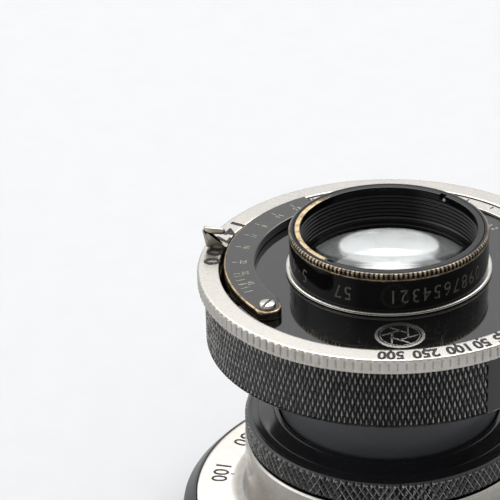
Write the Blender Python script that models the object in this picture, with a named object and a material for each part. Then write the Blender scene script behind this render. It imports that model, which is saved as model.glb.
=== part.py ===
"""Lens in a rim-set leaf shutter on a helical focusing mount.

The optical axis is +Z, and z = 0 is the rear face of the base ring.
Sizes are written in millimetres and turned into metres by mm().
Angles are in degrees, counted from +X towards +Y.
"""
import math

import bmesh
import bpy

# ---------------------------------------------------------------- driving sizes, mm
RUN = 0.1                   # running gap between pieces that turn or slide
SEAT = 0.05                 # gap between pieces that are screwed together

BASE_R = 28.3               # black base ring
BASE_EDGE_Z = 2.5
FLANGE_R = 26.4             # nickel distance flange
FLANGE_Z = 4.2
HUB_R = 19.5
HUB_Z = 13.6
FOCUS_R = 19.4              # knurled focus ring
FOCUS_Z0 = 13.9
FOCUS_Z1 = 16.9
FOCUS_TOP_Z = 18.2
FOCUS_TURN = 220.0          # from the infinity stop to the nearest distance

BARREL_R = 14.7             # sliding lens barrel
BARREL_BORE_R = 12.6
BARREL_Z0 = 2.7
KEY_AZIMUTH = 90.0

HOUSING_R = 24.15           # shutter housing
HOUSING_BORE_R = 23.1
HOUSING_Z0 = 28.7
HOUSING_Z1 = 36.8
HOUSING_FLOOR = 1.0
LIGHT_R = 8.8               # clear opening of the shutter

RING_R = 25.0               # nickel speed ring
RING_BORE_R = 22.15
RING_Z0 = 37.0
RING_Z1 = 38.9
FACE_R = 21.95              # enamelled faceplate
FACE_Z1 = 38.4
SCALE_PLATE_Z1 = 39.65      # raised aperture scale and the tab that holds its screw
SCALE_PLATE_R0 = 17.5
SCALE_PLATE_R1 = 21.45
SCALE_PLATE_START = 122.6
SCALE_PLATE_END = 216.5
TAB_AZIMUTH = 219.9
TAB_CENTRE_R = 19.8
TAB_R = 1.75

CELL_R = 13.0               # front lens cell
CELL_TOP_Z = 44.2
CELL_FOOT_Z = 38.95
CELL_NOSE_R = 12.0
CELL_NOSE_Z = 35.4
GLASS_EDGE_Z = 38.5
FRONT_GLASS_R = 11.1

IRIS_BLADES = 8
IRIS_Z = 30.4
IRIS_SWING = 11.12          # how far the blades are swung in, from fully open
SHUTTER_BLADES = 5
SHUTTER_Z = 33.62
SHUTTER_SWING = 32.0        # the shutter rests closed
BLADE_THICKNESS = 0.1
BLADE_STEP = 0.22

POINTER_AZIMUTH = 169.5     # aperture pointer and its travel either way
POINTER_BACK = 21.5
POINTER_FORWARD = 36.5
POINTER_R0 = 21.55
POINTER_R1 = 22.0

COCKING_AZIMUTH = 15.0      # cocking lever and its travel
COCKING_TRAVEL = 38.0
RELEASE_AZIMUTH = -25.0     # release lever
RELEASE_PIVOT_R = 20.4
SOCKET_AZIMUTH = -5.0       # cable release socket
SOCKET_Z = 32.6

OUTER_SEGMENTS = 48
INNER_SEGMENTS = 32
SCREW_SEGMENTS = 12
GLASS_SEGMENTS = 24

FINISHES = {
    # name: (colour, metallic, roughness)
    "nickel": ((0.78, 0.76, 0.72), 1.0, 0.32),
    "enamel": ((0.012, 0.012, 0.013), 0.0, 0.14),
    "lacquer": ((0.016, 0.016, 0.017), 0.0, 0.42),
    "satin_black": ((0.030, 0.030, 0.032), 0.1, 0.50),
    "brass": ((0.66, 0.47, 0.22), 1.0, 0.36),
    "blued_steel": ((0.10, 0.10, 0.12), 0.9, 0.38),
    "spring_steel": ((0.45, 0.44, 0.43), 1.0, 0.30),
    "optical_glass": ((0.93, 0.96, 0.97), 0.0, 0.02),
}


# ---------------------------------------------------------------- helpers
def mm(value):
    return value * 0.001


def polar(radius, azimuth):
    """Point at a radius and an azimuth in degrees."""
    angle = math.radians(azimuth)
    return radius * math.cos(angle), radius * math.sin(angle)


def clear_scene():
    for obj in list(bpy.data.objects):
        bpy.data.objects.remove(obj, do_unlink=True)


def finish(name):
    """The Principled material of one finish, made once."""
    if name in bpy.data.materials:
        return bpy.data.materials[name]
    colour, metallic, roughness = FINISHES[name]
    material = bpy.data.materials.new(name)
    material.use_nodes = True
    shader = material.node_tree.nodes["Principled BSDF"]
    shader.inputs["Base Color"].default_value = (*colour, 1.0)
    shader.inputs["Metallic"].default_value = metallic
    shader.inputs["Roughness"].default_value = roughness
    if name == "optical_glass":
        shader.inputs["Transmission Weight"].default_value = 1.0
    return material


def add_object(name, data, finish_name, place=(0.0, 0.0, 0.0), turn=0.0):
    """Link a mesh or curve as an object; place is in mm and turn is about Z in degrees."""
    obj = bpy.data.objects.new(name, data)
    obj.location = [mm(value) for value in place]
    obj.rotation_euler = (0.0, 0.0, math.radians(turn))
    bpy.context.collection.objects.link(obj)
    if finish_name:
        data.materials.append(finish(finish_name))
    return obj


def close_mesh(name, bm, smooth=True):
    """Turn a bmesh into a mesh whose faces point out, smooth where it is round."""
    bmesh.ops.recalc_face_normals(bm, faces=bm.faces)
    mesh = bpy.data.meshes.new(name)
    bm.to_mesh(mesh)
    bm.free()
    if smooth:
        mesh.shade_smooth()
        mesh.set_sharp_from_angle(angle=math.radians(35.0))
    return mesh


def lathe(name, finish_name, profile, segments=OUTER_SEGMENTS):
    """Turn a closed outline of (radius, z) points about the optical axis."""
    bm = bmesh.new()
    rings = []
    for radius, height in profile:
        if radius < 1e-6:
            rings.append([bm.verts.new((0.0, 0.0, mm(height)))] * segments)
            continue
        ring = []
        for index in range(segments):
            x, y = polar(radius, 360.0 * index / segments)
            ring.append(bm.verts.new((mm(x), mm(y), mm(height))))
        rings.append(ring)
    for lower, upper in zip(rings, rings[1:] + rings[:1]):
        for index in range(segments):
            following = (index + 1) % segments
            corners = [lower[index], lower[following], upper[following], upper[index]]
            corners = list(dict.fromkeys(corners))
            if len(corners) > 2:
                bm.faces.new(corners)
    return add_object(name, close_mesh(name, bm), finish_name)


def prism_mesh(name, outline, z0, z1):
    """A mesh extruded along Z from a closed outline of (x, y) points."""
    bm = bmesh.new()
    low = [bm.verts.new((mm(x), mm(y), mm(z0))) for x, y in outline]
    high = [bm.verts.new((mm(x), mm(y), mm(z1))) for x, y in outline]
    bm.faces.new(low)
    bm.faces.new(high)
    for index in range(len(outline)):
        following = (index + 1) % len(outline)
        bm.faces.new((low[index], low[following], high[following], high[index]))
    return close_mesh(name, bm)


def prism(name, finish_name, outline, z0, z1, place=(0.0, 0.0, 0.0), turn=0.0):
    return add_object(name, prism_mesh(name, outline, z0, z1), finish_name, place, turn)


def circle(radius, segments=SCREW_SEGMENTS, centre=(0.0, 0.0)):
    points = [polar(radius, 360.0 * index / segments) for index in range(segments)]
    return [(x + centre[0], y + centre[1]) for x, y in points]


def sector(r0, r1, start, end, step=7.5):
    """Outline of a ring sector between two radii and two azimuths."""
    count = max(1, math.ceil((end - start) / step))
    azimuths = [start + (end - start) * index / count for index in range(count + 1)]
    outer = [polar(r1, azimuth) for azimuth in azimuths]
    inner = [polar(r0, azimuth) for azimuth in reversed(azimuths)]
    return outer + inner


def slot_outline(x0, x1, width, steps=6):
    """Outline of a bar along X with round ends."""
    half = width / 2.0
    points = []
    for index in range(steps + 1):
        x, y = polar(half, -90.0 + 180.0 * index / steps)
        points.append((x1 - half + x, y))
    for index in range(steps + 1):
        x, y = polar(half, 90.0 + 180.0 * index / steps)
        points.append((x0 + half + x, y))
    return points


def hide_tool(obj):
    obj.hide_render = True
    obj.display_type = "WIRE"
    return obj


def combine(obj, tool, operation):
    """Cut or join a guide object with a Boolean that stays on the piece."""
    hide_tool(tool)
    modifier = obj.modifiers.new(operation.title(), "BOOLEAN")
    modifier.operation = operation
    modifier.object = tool
    return obj


def many_prisms(name, outlines, z0, z1):
    """One guide object that holds several separate prisms."""
    bm = bmesh.new()
    for outline in outlines:
        part = prism_mesh(name, outline, z0, z1)
        bm.from_mesh(part)
        bpy.data.meshes.remove(part)
    return add_object(name, close_mesh(name, bm, smooth=False), None)


def upright_plate(name, finish_name, outline, width, azimuth):
    """A plate standing in the radial plane, from (radius, z) points, extruded across it."""
    bm = bmesh.new()
    half = width / 2.0
    near = [bm.verts.new((mm(r), mm(-half), mm(z))) for r, z in outline]
    far = [bm.verts.new((mm(r), mm(half), mm(z))) for r, z in outline]
    bm.faces.new(near)
    bm.faces.new(far)
    for index in range(len(outline)):
        following = (index + 1) % len(outline)
        bm.faces.new((near[index], near[following], far[following], far[index]))
    return add_object(name, close_mesh(name, bm), finish_name, turn=azimuth)


def coil(name, finish_name, centre_line, radius, wire, turns, points_per_turn=8):
    """A coil spring round a centre line, given as a function of 0..1 to place and frame."""
    curve = bpy.data.curves.new(name, "CURVE")
    curve.dimensions = "3D"
    curve.bevel_depth = mm(wire / 2.0)
    curve.bevel_resolution = 0
    curve.use_fill_caps = True
    count = int(turns * points_per_turn)
    spline = curve.splines.new("POLY")
    spline.points.add(count)
    for index in range(count + 1):
        share = index / count
        centre, side, up = centre_line(share)
        angle = math.tau * turns * share
        place = [c + radius * (math.cos(angle) * s + math.sin(angle) * u)
                 for c, s, u in zip(centre, side, up)]
        spline.points[index].co = (*[mm(value) for value in place], 1.0)
    return add_object(name, curve, finish_name)


def lens_surface(edge_r, edge_z, bulge, steps=3):
    """Points of a spherical surface from the axis to its edge; bulge is the vertex's rise."""
    points = []
    for index in range(steps + 1):
        radius = edge_r * index / steps
        share = 1.0 - (radius / edge_r) ** 2
        points.append((radius, edge_z + bulge * share))
    return points


def glass_element(name, edge_r, z0, z1, rear_bulge, front_bulge):
    """A lens element; positive bulges push both surfaces towards the front."""
    rear = lens_surface(edge_r, z0, rear_bulge)
    front = lens_surface(edge_r, z1, front_bulge)
    return lathe(name, "optical_glass", rear + front[::-1], GLASS_SEGMENTS)


def screw(name, finish_name, head_r, head_z0, head_z1, shaft_r, shaft_z, x, y, turn=0.0):
    """A slotted screw along Z; the shaft runs from the head's far side to shaft_z."""
    inner, outer = (head_z0, head_z1) if shaft_z < head_z0 else (head_z1, head_z0)
    profile = [(0.0, shaft_z), (shaft_r, shaft_z), (shaft_r, inner), (head_r, inner),
               (head_r, outer), (0.0, outer)]
    body = lathe(name, finish_name, profile, SCREW_SEGMENTS)
    body.location = (mm(x), mm(y), 0.0)
    body.rotation_euler = (0.0, 0.0, math.radians(turn))
    depth = 0.35 * abs(head_z1 - head_z0)
    low, high = sorted((outer - math.copysign(depth, outer - inner),
                        outer + math.copysign(depth, outer - inner)))
    half = 0.14 * head_r
    reach = 1.3 * head_r
    bar = [(-reach, -half), (reach, -half), (reach, half), (-reach, half)]
    tool = prism(name + "_slot", None, bar, low, high, (x, y, 0.0), turn)
    return combine(body, tool, "DIFFERENCE")


# ---------------------------------------------------------------- focusing mount
def base_and_flange():
    seat_z = 2.4
    base = lathe("base_ring", "lacquer", [
        (19.5, 0.0), (BASE_R, 0.0), (BASE_R, BASE_EDGE_Z), (FLANGE_R + 0.25, FLANGE_Z),
        (FLANGE_R + RUN, FLANGE_Z), (FLANGE_R + RUN, seat_z), (19.5, seat_z)])
    flange = lathe("distance_flange", "nickel", [
        (18.2, seat_z + SEAT), (FLANGE_R, seat_z + SEAT), (FLANGE_R, FLANGE_Z),
        (HUB_R + 1.0, FLANGE_Z), (HUB_R + 0.3, 4.5), (HUB_R, 5.2), (HUB_R, HUB_Z),
        (17.2, HUB_Z), (17.2, 7.0), (18.2, 7.0)])
    places = [polar(23.6, 45.0 + 90.0 * index) for index in range(4)]
    through = [circle(1.3, centre=place) for place in places]
    shafts = [circle(0.75, centre=place) for place in places]
    combine(base, many_prisms("head_holes", through, -1.0, 1.25), "DIFFERENCE")
    combine(base, many_prisms("clearance_holes", shafts, 1.0, 3.0), "DIFFERENCE")
    combine(flange, many_prisms("tapped_holes", shafts, 1.0, 3.7), "DIFFERENCE")
    for index, (x, y) in enumerate(places):
        screw(f"flange_screw_{index + 1}", "blued_steel", 1.2, 0.15, 1.15, 0.65, 3.6,
              x, y, 20.0 + 50.0 * index)


def focus_drive():
    """The turning ring with its stop, and the ring that keeps it in the hub."""
    ring = lathe("focus_ring", "enamel", [
        (BARREL_R + 0.2, 5.4), (18.0, 5.4), (18.0, 6.8), (17.05, 6.8), (17.05, FOCUS_Z0),
        (19.0, FOCUS_Z0), (FOCUS_R, FOCUS_Z0 + 0.2), (FOCUS_R, FOCUS_Z1),
        (19.0, FOCUS_Z1 + 0.35), (17.6, 17.45), (16.2, 17.85), (BARREL_R + 0.2, FOCUS_TOP_Z)])
    margin = 2.2
    pin_azimuth = 250.0
    arc = sector(17.15, 19.0, pin_azimuth - margin - FOCUS_TURN, pin_azimuth + margin)
    combine(ring, prism("stop_recess", None, arc, 5.0, 6.95), "DIFFERENCE")
    lathe("focus_lock_ring", "brass", [
        (BARREL_R + 0.25, 2.6), (18.1, 2.6), (18.1, 5.25), (BARREL_R + 0.25, 5.25)],
        INNER_SEGMENTS)
    x, y = polar(17.6, pin_azimuth)
    prism("focus_stop_pin", "spring_steel", circle(0.35), 5.3, 6.6, (x, y, 0.0))


def guide_key():
    """A bent key under the lock ring keeps the barrel from turning as it slides."""
    upright_plate("guide_key", "brass", [
        (12.4, 1.3), (18.0, 1.3), (18.0, 2.5), (13.45, 2.5), (13.45, 11.0), (12.4, 11.0)],
        2.0, KEY_AZIMUTH)
    x, y = polar(16.8, KEY_AZIMUTH)
    hole = [circle(0.55, centre=(x, y))]
    key = bpy.data.objects["guide_key"]
    combine(key, many_prisms("key_hole", hole, 1.0, 2.8), "DIFFERENCE")
    ring = bpy.data.objects["focus_lock_ring"]
    combine(ring, many_prisms("lock_ring_hole", hole, 2.0, 4.4), "DIFFERENCE")
    screw("guide_key_screw", "spring_steel", 0.95, 0.5, 1.25, 0.45, 4.2, x, y, 35.0)


# ---------------------------------------------------------------- barrel and housing
def lens_barrel():
    barrel = lathe("lens_barrel", "satin_black", [
        (BARREL_BORE_R, BARREL_Z0), (BARREL_R, BARREL_Z0), (BARREL_R, 28.6),
        (11.25, 28.6), (11.25, 26.6), (BARREL_BORE_R, 26.6)])
    x0, x1 = BARREL_BORE_R - 1.0, 13.6
    groove = [(x0, -1.15), (x1, -1.15), (x1, 1.15), (x0, 1.15)]
    tool = prism("key_groove", None, groove, 1.0, 11.6, turn=KEY_AZIMUTH)
    combine(barrel, tool, "DIFFERENCE")
    lathe("shutter_lock_ring", "brass", [
        (11.2, 24.95), (12.4, 24.95), (12.4, 26.5), (11.2, 26.5)], INNER_SEGMENTS)


def shutter_housing():
    """Turned cup with a rear spigot, and slots in its wall for the two levers."""
    floor_z = HOUSING_Z0 + HOUSING_FLOOR
    cup = lathe("shutter_housing", "lacquer", [
        (9.9, 24.9), (11.1, 24.9), (11.1, HOUSING_Z0), (HOUSING_R - 0.3, HOUSING_Z0),
        (HOUSING_R, HOUSING_Z0 + 0.3), (HOUSING_R, HOUSING_Z1), (HOUSING_BORE_R, HOUSING_Z1),
        (HOUSING_BORE_R, floor_z), (9.9, floor_z)])
    cocking = sector(22.0, 26.0, COCKING_AZIMUTH - 5.0, COCKING_AZIMUTH + COCKING_TRAVEL + 5.0)
    release = sector(22.0, 26.0, RELEASE_AZIMUTH - 4.5, RELEASE_AZIMUTH + 8.5)
    combine(cup, prism("cocking_slot", None, cocking, 34.05, 34.95), "DIFFERENCE")
    combine(cup, prism("release_slot", None, release, 30.4, 31.7), "DIFFERENCE")


def cable_socket():
    """Bush for a cable release, pointing out of the housing wall, with a tapered hole."""
    bm = bmesh.new()
    profile = [(0.75, 24.35), (1.5, 24.35), (1.5, 25.2), (1.9, 25.4), (1.9, 27.6), (1.1, 27.6)]
    rings = []
    for radius, reach in profile:
        ring = []
        for index in range(SCREW_SEGMENTS):
            across, height = polar(radius, 360.0 * index / SCREW_SEGMENTS)
            ring.append(bm.verts.new((mm(reach), mm(across), mm(SOCKET_Z + height))))
        rings.append(ring)
    for lower, upper in zip(rings, rings[1:] + rings[:1]):
        for index in range(SCREW_SEGMENTS):
            following = (index + 1) % SCREW_SEGMENTS
            bm.faces.new((lower[index], lower[following], upper[following], upper[index]))
    mesh = close_mesh("cable_release_socket", bm)
    add_object("cable_release_socket", mesh, "nickel", turn=SOCKET_AZIMUTH)


# ---------------------------------------------------------------- blades
def blade_outline(r0, r1, pivot_r, span):
    """A curved blade that lies round the opening, with an ear at its pivot.

    The outline is relative to the pivot, which lies on +X at pivot_r from the axis.
    """
    ear = 0.9
    points = [(pivot_r + ear * math.cos(math.radians(a)), ear * math.sin(math.radians(a)))
              for a in (-90.0, -45.0, 0.0, 45.0, 90.0)]
    steps = 9
    for index in range(steps + 1):
        points.append(polar(r1, 8.0 + (span - 8.0) * index / steps))
    middle = (r0 + r1) / 2.0
    tip = (r1 - r0) / 2.0
    across_x, across_y = polar(1.0, span)
    along_x, along_y = polar(1.0, span + 90.0)
    for angle in (45.0, 90.0, 135.0):
        out = middle + tip * math.cos(math.radians(angle))
        push = 0.6 * tip * math.sin(math.radians(angle))
        points.append((out * across_x + push * along_x, out * across_y + push * along_y))
    for index in range(steps + 1):
        points.append(polar(r0, span + (-4.0 - span) * index / steps))
    return [(x - pivot_r, y) for x, y in points]


def blade_set(label, finish_name, count, level, shape, phase, swing):
    """Blades on their own levels, so that they pass over one another as they swing."""
    r0, r1, pivot_r, span = shape
    outline = blade_outline(r0, r1, pivot_r, span)
    for index in range(count):
        azimuth = phase + 360.0 * index / count
        z0 = level + BLADE_STEP * index
        x, y = polar(pivot_r, azimuth)
        name = f"{label}_{index + 1}"
        turn = azimuth + swing
        blade = prism(name, finish_name, outline, 0.0, BLADE_THICKNESS, (x, y, z0), turn)
        hole = prism(name + "_hole", None, circle(0.5), -0.2, 0.2, (x, y, z0), turn)
        combine(blade, hole, "DIFFERENCE")


def pivot_plate(name, finish_name, profile, count, pivot_r, phase, z0, z1):
    """A ring with one pivot pin for each blade."""
    plate = lathe(name, finish_name, profile, INNER_SEGMENTS)
    pins = []
    for index in range(count):
        place = polar(pivot_r, phase + 360.0 * index / count)
        pins.append(circle(0.35, 8, place))
    return combine(plate, many_prisms(name + "_pins", pins, z0, z1), "UNION")


def iris():
    shape = (LIGHT_R + 0.3, 14.0, 15.3, 112.0)
    top = IRIS_Z + BLADE_STEP * (IRIS_BLADES - 1) + BLADE_THICKNESS
    pivot_plate("iris_base_ring", "brass", [
        (9.2, 29.8), (17.8, 29.8), (17.8, 30.3), (9.2, 30.3)],
        IRIS_BLADES, shape[2], 0.0, 30.1, top + 0.1)
    blade_set("iris_blade", "blued_steel", IRIS_BLADES, IRIS_Z, shape, 0.0, IRIS_SWING)
    lathe("aperture_ring", "brass", [
        (10.6, 32.25), (20.8, 32.25), (20.8, 32.75), (10.6, 32.75)], INNER_SEGMENTS)
    upright_plate("aperture_pointer", "nickel", [
        (20.9, 32.25), (POINTER_R1, 32.25), (POINTER_R1, 39.1), (24.3, 39.1), (24.3, 41.7),
        (24.1, 41.9), (21.9, 41.9), (21.9, 41.5), (23.9, 41.5), (23.9, 39.5),
        (POINTER_R0, 39.5), (POINTER_R0, 32.75), (20.9, 32.75)], 1.2, POINTER_AZIMUTH)


def shutter():
    shape = (LIGHT_R + 0.3, 15.6, 16.9, 128.0)
    top = SHUTTER_Z + BLADE_STEP * (SHUTTER_BLADES - 1) + BLADE_THICKNESS
    pivot_plate("mechanism_plate", "brass", [
        (LIGHT_R + 0.1, 32.9), (20.9, 32.9), (20.9, 33.5), (LIGHT_R + 0.1, 33.5)],
        SHUTTER_BLADES, shape[2], 20.0, 33.2, top + 0.1)
    blade_set("shutter_blade", "blued_steel", SHUTTER_BLADES, SHUTTER_Z, shape, 20.0,
              SHUTTER_SWING)
    lathe("blade_ring", "spring_steel", [
        (12.2, 34.8), (17.2, 34.8), (17.2, 35.2), (12.2, 35.2)], INNER_SEGMENTS)


# ---------------------------------------------------------------- levers and springs
def cocking():
    lathe("cocking_ring", "spring_steel", [
        (18.2, 33.7), (21.2, 33.7), (21.2, 34.15), (18.2, 34.15)], INNER_SEGMENTS)
    arm = slot_outline(18.6, 27.6, 2.2)
    lever = prism("cocking_lever", "nickel", arm, 34.25, 34.75, turn=COCKING_AZIMUTH)
    x, y = polar(26.4, COCKING_AZIMUTH)
    combine(lever, many_prisms("cocking_pad", [circle(1.2, 16, (x, y))], 33.4, 36.6), "UNION")

    def centre_line(share):
        azimuth = 70.0 + 60.0 * share
        side_x, side_y = polar(1.0, azimuth)
        centre_x, centre_y = polar(19.4, azimuth)
        return (centre_x, centre_y, 36.1), (side_x, side_y, 0.0), (0.0, 0.0, 1.0)

    coil("main_spring", "spring_steel", centre_line, 0.5, 0.24, 10, 6)


def release():
    x, y = polar(RELEASE_PIVOT_R, RELEASE_AZIMUTH)
    lever = prism("release_lever", "nickel", slot_outline(-1.4, 6.9, 2.0), 30.6, 31.5,
                  (x, y, 0.0), RELEASE_AZIMUTH)
    hole = prism("release_hole", None, circle(0.7), 30.0, 32.0, (x, y, 0.0), RELEASE_AZIMUTH)
    combine(lever, hole, "DIFFERENCE")
    pad = prism("release_pad", None, sector(26.1, 27.2, -2.2, 2.2, 2.2), 29.9, 33.0,
                turn=RELEASE_AZIMUTH)
    combine(lever, pad, "UNION")
    prism("release_pivot", "spring_steel", circle(0.55), 29.8, 32.1, (x, y, 0.0))

    def centre_line(share):
        return (x, y, 31.75 + 0.28 * share), (1.0, 0.0, 0.0), (0.0, 1.0, 0.0)

    coil("release_spring", "spring_steel", centre_line, 0.95, 0.16, 2, 12)


# ---------------------------------------------------------------- front of the shutter
def speed_ring():
    lathe("speed_ring", "nickel", [
        (RING_BORE_R, RING_Z0), (RING_R - 0.25, RING_Z0), (RING_R, RING_Z0 + 0.25),
        (RING_R, RING_Z1 - 0.2), (RING_R - 0.2, RING_Z1), (RING_BORE_R, RING_Z1)])
    lathe("speed_cam_ring", "brass", [
        (RING_BORE_R, 35.3), (22.9, 35.3), (22.9, RING_Z0 - SEAT),
        (RING_BORE_R, RING_Z0 - SEAT)], INNER_SEGMENTS)


def faceplate():
    face = lathe("faceplate", "enamel", [
        (12.15, 36.6), (13.0, 36.6), (13.0, 37.7), (FACE_R, 37.7), (FACE_R, FACE_Z1),
        (12.15, FACE_Z1)])
    start = POINTER_AZIMUTH - POINTER_BACK - 3.0
    end = POINTER_AZIMUTH + POINTER_FORWARD + 3.0
    path = sector(POINTER_R0 - 0.1, FACE_R + 1.0, start, end)
    combine(face, prism("pointer_path", None, path, 37.0, 39.5), "DIFFERENCE")


def scale_plates():
    """The raised aperture scale at the left, ended by a round tab with a screw."""
    z0, z1 = FACE_Z1 + SEAT, SCALE_PLATE_Z1
    outline = []
    steps = 14
    step = (SCALE_PLATE_END - SCALE_PLATE_START) / steps
    for index in range(steps + 1):
        outline.append(polar(SCALE_PLATE_R1, SCALE_PLATE_START + step * index))
    tab_x, tab_y = polar(TAB_CENTRE_R, TAB_AZIMUTH)
    for angle in (-20.0, 15.0, 50.0, 85.0, 120.0, 155.0):
        dx, dy = polar(TAB_R, TAB_AZIMUTH + angle)
        outline.append((tab_x + dx, tab_y + dy))
    for index in range(steps + 1):
        outline.append(polar(SCALE_PLATE_R0, SCALE_PLATE_END - step * index))
    plate = prism("aperture_scale_plate", "enamel", outline, z0, z1)
    hole = [circle(0.55, centre=(tab_x, tab_y))]
    face = bpy.data.objects["faceplate"]
    combine(plate, many_prisms("tab_hole", hole, z0 - 0.5, z1 + 0.5), "DIFFERENCE")
    combine(face, many_prisms("face_hole", hole, 37.0, 39.0), "DIFFERENCE")
    screw("scale_screw", "brass", 1.1, z1 + SEAT, z1 + 0.5, 0.45, 37.8, tab_x, tab_y, 62.0)
    prism("scale_arc", "nickel", sector(20.0, 21.9, 30.0, 120.0), z0, 38.8)


# ---------------------------------------------------------------- lens cells
def front_cell():
    lathe("front_cell_barrel", "lacquer", [
        (9.4, CELL_NOSE_Z), (CELL_NOSE_R, CELL_NOSE_Z), (CELL_NOSE_R, CELL_FOOT_Z),
        (CELL_R, CELL_FOOT_Z), (CELL_R, 43.95), (12.8, CELL_TOP_Z), (12.4, CELL_TOP_Z),
        (12.4, 39.5), (FRONT_GLASS_R + 0.1, 39.5), (FRONT_GLASS_R + 0.1, 37.45),
        (10.6, 37.45), (10.6, 35.8), (9.4, 35.8)])
    lathe("front_seat_ring", "nickel", [
        (12.1, 38.45), (13.3, 38.45), (13.42, 38.68), (13.3, 38.9), (12.1, 38.9)],
        INNER_SEGMENTS)
    lathe("front_retaining_ring", "brass", [
        (10.8, 38.6), (FRONT_GLASS_R, 38.6), (FRONT_GLASS_R, 39.55), (12.3, 39.55),
        (12.3, CELL_TOP_Z), (11.52, CELL_TOP_Z), (11.4, 39.2), (10.8, 39.0)])
    glass_element("front_element", FRONT_GLASS_R, 37.52, GLASS_EDGE_Z, -0.25, 1.7)
    lathe("front_spacer_ring", "brass", [
        (9.8, 37.05), (10.5, 37.05), (10.5, 37.44), (9.8, 37.44)], INNER_SEGMENTS)
    glass_element("second_element", 10.5, 35.88, 37.0, 0.35, -0.35)


def rear_cell():
    lathe("rear_cell_barrel", "lacquer", [
        (8.9, 23.0), (10.6, 23.0), (10.6, 15.5), (11.9, 15.5), (11.9, 24.75), (9.75, 24.75),
        (9.75, 29.3), (8.9, 29.3)], INNER_SEGMENTS)
    glass_element("rear_flint_element", 10.45, 20.4, 22.5, 0.9, -0.5)
    glass_element("rear_crown_element", 10.45, 18.4, 20.3, -0.9, 0.9)
    lathe("rear_retaining_ring", "brass", [
        (9.3, 16.4), (10.45, 16.4), (10.45, 18.05), (9.3, 18.05)], INNER_SEGMENTS)


def main():
    clear_scene()
    base_and_flange()
    focus_drive()
    guide_key()
    lens_barrel()
    shutter_housing()
    cable_socket()
    iris()
    shutter()
    cocking()
    release()
    speed_ring()
    faceplate()
    scale_plates()
    front_cell()
    rear_cell()


main()
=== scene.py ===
import math

import bmesh
import bpy
import numpy as np
from mathutils import Matrix, Vector


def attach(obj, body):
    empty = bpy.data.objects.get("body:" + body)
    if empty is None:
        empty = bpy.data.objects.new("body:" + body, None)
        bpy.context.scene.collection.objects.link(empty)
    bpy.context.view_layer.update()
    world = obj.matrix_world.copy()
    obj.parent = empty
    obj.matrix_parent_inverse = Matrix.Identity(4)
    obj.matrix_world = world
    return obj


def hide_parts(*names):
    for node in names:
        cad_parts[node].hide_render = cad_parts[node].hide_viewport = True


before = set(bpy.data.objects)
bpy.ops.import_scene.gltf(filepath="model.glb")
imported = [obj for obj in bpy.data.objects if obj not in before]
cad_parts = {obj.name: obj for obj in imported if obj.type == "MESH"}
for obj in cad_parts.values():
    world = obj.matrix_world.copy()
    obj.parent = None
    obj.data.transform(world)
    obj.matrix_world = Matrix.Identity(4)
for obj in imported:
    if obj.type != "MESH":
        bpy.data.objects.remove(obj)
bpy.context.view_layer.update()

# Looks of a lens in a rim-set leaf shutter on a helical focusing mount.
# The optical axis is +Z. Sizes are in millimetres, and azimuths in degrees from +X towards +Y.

MM = 0.001

# ---------- driving values
ROUND = 288                 # columns of a plain turned piece
FILLET = 0.09               # usual corner radius
FLUTES = 144                # coin edge of the speed ring
FLUTE_DEPTH = 0.24
HOUSING_DIAMONDS = 218      # knurl of the housing, counted round the full circle
HOUSING_DIAMOND_Z = 1.95    # height of one diamond
HOUSING_KNURL_DEPTH = 0.36
HOUSING_KNURL = (75.0, 300.5)   # azimuths between which the housing is knurled
FOCUS_DIAMONDS = 120
FOCUS_DIAMOND_Z = 1.7
FOCUS_KNURL_DEPTH = 0.5
RIM_BEADS = 132             # small beads round the front cell
BEAD_DEPTH = 0.15
KNURL_CELLS = 6             # columns and rows in one diamond
SHARP = 40.0                # edges that turn by more degrees than this stay sharp
INLAY = 0.02                # how far paint stands out of its engraving
INLAY_DEPTH = 0.1           # and how far it reaches down into it
FONT_SCALE = 1.38           # font size over the height of its figures
FLOOR_GAP = 0.02
PLATE_R0, PLATE_R1 = 17.5, 21.45    # aperture scale plate and the tab at its end
PLATE_ARC = (122.6, 216.5)
TAB_AZIMUTH, TAB_CENTRE_R, TAB_R = 219.9, 19.8, 1.75
ARC_BAND = (20.0, 21.9, 30.0, 120.0)    # scale arc: two radii, two azimuths
POINTER_AZIMUTH = 169.5
COCKING_AZIMUTH = 15.0
RELEASE_AZIMUTH, RELEASE_PIVOT_R = -25.0, 20.4
SOCKET_AZIMUTH, SOCKET_Z = -5.0, 32.6
KEY_AZIMUTH = 90.0          # key groove in the lens barrel

CAMERA_DISTANCE = 297.1     # from the middle of the speed ring's rear face
CAMERA_ELEVATION = 28.621
CAMERA_PAN = 3.496
CAMERA_TILT = 0.653
CAMERA_LENS = 163.5

EVEN_LIGHT = 0.62
# Patches of light: azimuth, elevation, half-angle of the full part and of the whole, strength.
BACK_GLOW = (90.0, 30.0, 40.0, 95.0, 0.5)
WINDOW = (90.0, 57.0, 27.0, 31.0, 5.2)
ABOVE_SILL = (0.0, 90.0, 51.5, 55.5, 1.0)
SIDE_LIGHT = (196.0, 12.0, 15.0, 45.0, 1.9)


# ---------- reading the frame
def span(node):
    """Inner and outer radius, and lowest and highest z of a CAD node, in mm."""
    co = np.array([v.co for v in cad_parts[node].data.vertices]) / MM
    radius = np.hypot(co[:, 0], co[:, 1])
    return [round(float(value), 3) for value in
            (radius.min(), radius.max(), co[:, 2].min(), co[:, 2].max())]


def polar(radius, azimuth):
    angle = math.radians(azimuth)
    return radius * math.cos(angle), radius * math.sin(angle)


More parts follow.
